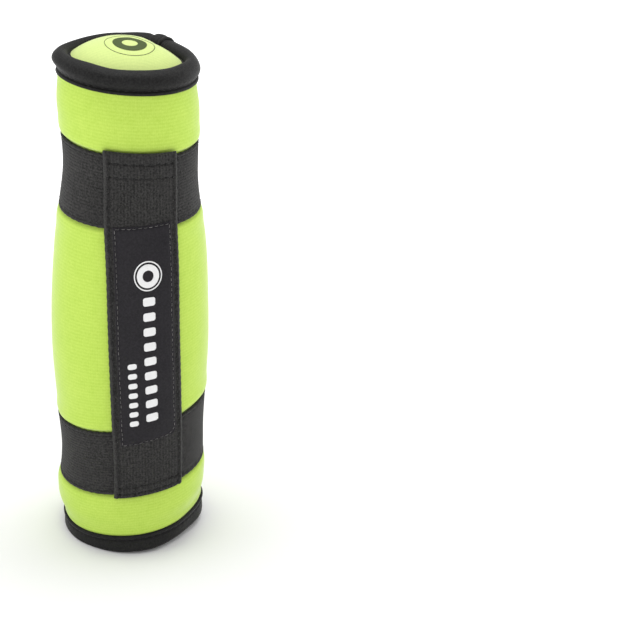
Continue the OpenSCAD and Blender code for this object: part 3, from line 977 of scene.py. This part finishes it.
def build_label(name, upper):
    """Half of the sewn label, down or up to the middle of the weight."""
    fine = (-LABEL_X, LABEL_X, LABEL_ROW - LABEL_X, LABEL_X - LABEL_ROW)
    u = spaced(-LABEL_X, LABEL_X, 0.55, fine, 0.5, 6)
    reach = (LABEL_Z[1] - MID) if upper else (MID - LABEL_Z[0])
    t = spaced(0, reach, 0.9, (reach, reach - LABEL_ROW), 0.6, 7)
    t = np.sort(np.append(t, CRISP)) / reach
    if not upper:
        t = t[::-1]
    u, t = np.meshgrid(u, t)
    end = label_end(u, upper)
    z = MID + (end - MID) * t
    x = u.copy()
    if not upper:
        inset = corner_inset(z - label_end(LABEL_X, False), CORNER)
        x = np.where(u > 0, u * (1 - inset / LABEL_X), u)
    height = (label_face(u, z) - LABEL_D) * rolled(label_edge(u, z), 0.35)
    outer = on_strap(x, z, LABEL_D + height)
    inner = on_strap(x, z, LABEL_D - 0.12)
    label = slab(name, outer, inner, np.stack([z, x], -1))
    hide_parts("label")
    dress(label, LABEL, body=None)
    return follow(label)


def label_stitches(name, upper):
    """Row of grey stitches just inside the label's edge."""
    x = LABEL_X - LABEL_ROW
    inset = LABEL_ROW if upper else -LABEL_ROW
    left = (-x, label_end(-x, upper) - inset)
    right = (x, label_end(x, upper) - inset)
    lines = [((-x, MID), left), (left, right), ((x, MID), right)]
    if not upper:
        cut = CORNER * 0.75
        turn = (x - cut, label_end(x - cut, False) + LABEL_ROW)
        above = (x, right[1] + cut)
        lines = [((-x, MID), left), (left, turn), (turn, above), ((x, MID), above)]
    obj = stitches(name, on_strap, lines, LABEL_D + LABEL_T - 0.12, pitch=2.4, radius=0.13)
    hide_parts("label_thread")
    dress(obj, LABEL_THREAD, body=None)
    return follow(obj)


def print_patch(x, z):
    """Thin layer of ink over a grid of label positions: outer and inner points."""
    face = label_face(x, z)
    return on_strap(x, z, face + 0.06), on_strap(x, z, face - 0.05)


def rounded_bar(x, w, z0, z1):
    """Grid over a bar of width w with rounded corners."""
    z = z0 + (z1 - z0) * (0.5 - 0.5 * np.cos(np.linspace(0, PI, 15)))
    inset = corner_inset(np.minimum(z - z0, z1 - z), BAR_CORNER)
    u, half = np.meshgrid(np.linspace(-1, 1, 7), w / 2 - inset)
    return x + u * half, np.broadcast_to(z[:, None], u.shape)


def label_bars(name, upper):
    """Printed bars: a row of broad ones, and a row of small ones beside its lower half."""
    gap = 0.45           # share of the pitch between two bars
    low, high = MARKS_Z
    pairs = []
    # count, lowest, highest, place across the strap, width
    broad = (9, low + 1, high, PRINT_X + 0.2, 5.4)
    small = (7, low, (low + 1 + high) / 2, PRINT_X - 7.9, 4.0)
    for count, z0, z1, x, w in (broad, small):
        pitch = (z1 - z0) / (count - gap)
        for k in range(count):
            start = z0 + k * pitch
            end = start + (1 - gap) * pitch
            if ((start + end) / 2 > MID) == upper:
                pairs.append(print_patch(*rounded_bar(x, w, start, end)))
    obj = slabs(name, pairs)
    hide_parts("label_marks")
    dress(obj, WHITE_INK, body=None)
    return follow(obj)


def label_ring(name):
    """Printed ring with a broad inner ring, near the label's upper end."""
    pairs = []
    for inner_r, outer_r in ((2.4, 4.9), (5.7, RING_R)):
        a = np.linspace(0, 2 * PI, 73)
        r, a = np.meshgrid(np.linspace(inner_r, outer_r, 6), a)
        pairs.append(print_patch(PRINT_X + r * np.sin(a), RING_Z + RING_TALL * r * np.cos(a)))
    obj = slabs(name, pairs)
    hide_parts("label_emblem")
    dress(obj, WHITE_INK, body=None)
    return follow(obj)


# ---- other stitching


def rim_stitches(name, node, neck, lip, way, r_off, h_off):
    """Stitches in the groove of a binding, r_off from its neck and h_off from its lip."""
    pitch = 3.2
    count = int(2 * PI * neck / pitch)
    bow = np.array([-0.3, -0.06, 0, -0.06, -0.3])
    paths = []
    for k in range(count):
        a = stitch_angles(k, count)
        drawn_in = tuck(a, h_off) if way > 0 else 0
        paths.append(round_body(a, lip + way * h_off, neck + r_off + bow - drawn_in))
    obj = strands(name, paths, 0.15)
    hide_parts(node)
    return dress(obj, DARK_THREAD)


def beside_band(z):
    """How deep the cover lies beside a band's edge, and 0 on the band itself."""
    on_band = 0
    for low, high in BANDS.values():
        off = np.abs(z - (low + high) / 2) - (high - low) / 2
        on_band = np.maximum(on_band, 1 - ramp((off - 0.05) / 0.7))
    return UNDER * groove(z) * (1 - on_band)


def back_seam(name):
    """Flat seam down the back: a zigzag of thread over the butted edges."""
    low, high = heights("back_seam_thread")
    pitch = 1.9
    count = int((high - low) / pitch)
    z = np.linspace(low, high, count)
    side = np.where(np.arange(count) % 2, 1.0, -1.0)
    paths = []
    for k in range(count - 1):
        t = np.linspace(0, 1, 7)
        x = side[k] * (1 - 2 * ramp(t)) * 1.45
        height = z[k] + (z[k + 1] - z[k]) * t
        lift = 0.12 - 0.2 * np.abs(2 * t - 1) ** 3
        d = lift - 0.05 - beside_band(height)
        paths.append(on_body(PI + x / outline(height), height, d))
    for edge in (-1, 1):
        for k in range(count // 2 * 2 - 1):
            t = np.linspace(0.12, 0.88, 5)
            height = z[k] + (z[k + 1] - z[k]) * t
            d = np.array([-0.15, 0.08, 0.12, 0.08, -0.15])
            paths.append(on_body(PI + edge * 1.5 / outline(height), height, d - beside_band(height)))
    obj = strands(name, paths, 0.17)
    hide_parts("back_seam_thread")
    return dress(obj, DARK_THREAD)


# ---- build

TOP_FACE = dict(neck=TOP_NECK, lip=TOP_LIP, way=1, rise=DOME_TOP - TOP_LIP - EDGE_TOP, flat=0, power=2.5)
BASE_FACE = dict(neck=LOW_NECK, lip=LOW_LIP, way=-1, rise=LOW_LIP - EDGE_TOP, flat=19, power=2)

build_cover()
end_panel("top_dome", "top_panel", **TOP_FACE)
end_panel("base_cushion", "base_panel", **BASE_FACE)
end_print("top_rings", "top_emblem", centre=(0.6, -4.2), **TOP_FACE)
end_print("base_rings", "base_emblem", centre=(0, 0), lift=-0.1, **BASE_FACE)
binding("top_rim_tape", "top_binding", TOP_TAPE, TOP_NECK, TOP_LIP, 1)
binding("base_rim_tape", "base_binding", BASE_TAPE, LOW_NECK, LOW_LIP, -1)
tape_end("top_tape_end", 139, 13)
rim_stitches("top_rim_stitches", "top_binding_thread", TOP_NECK, TOP_LIP, 1, 0.6, 2.15)
rim_stitches("base_rim_stitches", "base_binding_thread", LOW_NECK, LOW_LIP, -1, 0.78, 2.35)
for band_name, (band_low, band_high) in BANDS.items():
    build_band(band_name, band_low, band_high)
    band_stitches(band_name, band_low, band_high)
back_seam("back_seam_stitches")
build_strap("strap_upper", MID, STRAP_TOP, ["strap_upper_end", "strap_middle"], True)
build_strap("strap_lower", STRAP_LOW, MID, ["strap_lower_end", "strap_middle"], False)
strap_stitches("strap_upper_stitches", True, ["strap_upper_thread", "strap_edge_thread"])
strap_stitches("strap_lower_stitches", False, ["strap_lower_thread", "strap_edge_thread"])
build_label("label_upper", True)
build_label("label_lower", False)
label_stitches("label_upper_stitches", True)
label_stitches("label_lower_stitches", False)
label_ring("label_ring")
label_bars("label_bars_upper", True)
label_bars("label_bars_lower", False)

for node_name, inside in (("inner_bag", plain_bag()), ("sand_fill", dry_sand())):
    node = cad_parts[node_name]
    node.data.materials.clear()
    node.data.materials.append(inside)

# ---- floor, light and camera

SURROUND = 0.41  # how strongly the white surround lights the scene


def build_stage():
    """Pale floor that glows a little further out, and a white surround."""
    bpy.ops.mesh.primitive_plane_add(size=6, location=(0, 0, -0.0002))
    floor = bpy.context.object
    floor.name = "floor"
    net = Net("pale_floor", Roughness=0.9, Specular_IOR_Level=0.1)
    at = net.place()
    cloud = net.noise(at, 400.0)
    away = net.add("ShaderNodeVectorMath", {0: at}, operation="LENGTH").outputs["Value"]
    glow = net.add("ShaderNodeMapRange",
                   {"Value": away, "From Min": 40.0, "From Max": 900.0, "To Max": 0.55})
    net.shader.inputs["Emission Color"].default_value = (1, 1, 1, 1)
    net.tree.links.new(glow.outputs[0], net.shader.inputs["Emission Strength"])
    net.finish(net.blend(cloud, (0.93, 0.93, 0.93, 1), (0.95, 0.95, 0.95, 1)))
    floor.data.materials.append(net.material)
    scene = bpy.context.scene
    scene.view_settings.view_transform = "Standard"
    world = bpy.data.worlds.new("surround")
    scene.world = world
    world.use_nodes = True
    tree = world.node_tree
    seen = tree.nodes.new("ShaderNodeLightPath").outputs["Is Camera Ray"]
    strength = tree.nodes.new("ShaderNodeMapRange")
    strength.inputs["To Min"].default_value = SURROUND
    strength.inputs["To Max"].default_value = 1.0
    tree.links.new(seen, strength.inputs["Value"])
    tree.links.new(strength.outputs[0], tree.nodes["Background"].inputs[1])
    tree.nodes["Background"].inputs[0].default_value = (1, 1, 1, 1)


def area_light(name, place, aim, size, power):
    """Soft rectangular light at place that points at aim: metres and watts."""
    data = bpy.data.lights.new(name, "AREA")
    data.shape = "RECTANGLE"
    data.size, data.size_y = size
    data.energy = power
    light = bpy.data.objects.new(name, data)
    bpy.context.scene.collection.objects.link(light)
    light.location = place
    light.rotation_euler = (Vector(aim) - Vector(place)).to_track_quat("-Z", "Y").to_euler()


def build_camera():
    """Camera at the viewing angle: distance, height, pan, pitch and roll of the shot."""
    distance, height = 0.8, 0.4885
    pan, pitch, roll = 0.10826, 0.44580, 0.039455
    data = bpy.data.cameras.new("camera")
    data.sensor_width = 36
    data.lens = 108.82
    camera = bpy.data.objects.new("camera", data)
    bpy.context.scene.collection.objects.link(camera)
    turn = Matrix.Rotation(-FACING - pan, 4, "Z") @ Matrix.Rotation(PI / 2 - pitch, 4, "X")
    turn = turn @ Matrix.Rotation(roll, 4, "Z")
    place = Matrix.Translation((-distance * math.sin(FACING), -distance * math.cos(FACING), height))
    camera.matrix_world = place @ turn
    bpy.context.scene.camera = camera


build_stage()
area_light("top_light", (0.0, 0.2, 1.3), (0, 0, 0.15), (1.4, 1.2), 14.5)
area_light("left_light", (-1.2, 0.2, 0.5), (0, 0, 0.1), (1.0, 0.9), 4)
area_light("right_light", (1.2, 0.3, 0.5), (0, 0, 0.1), (1.0, 0.9), 5)
area_light("low_light", (-0.2, -1.2, 0.25), (0, 0, 0.02), (1.2, 0.4), 3.2)
build_camera()
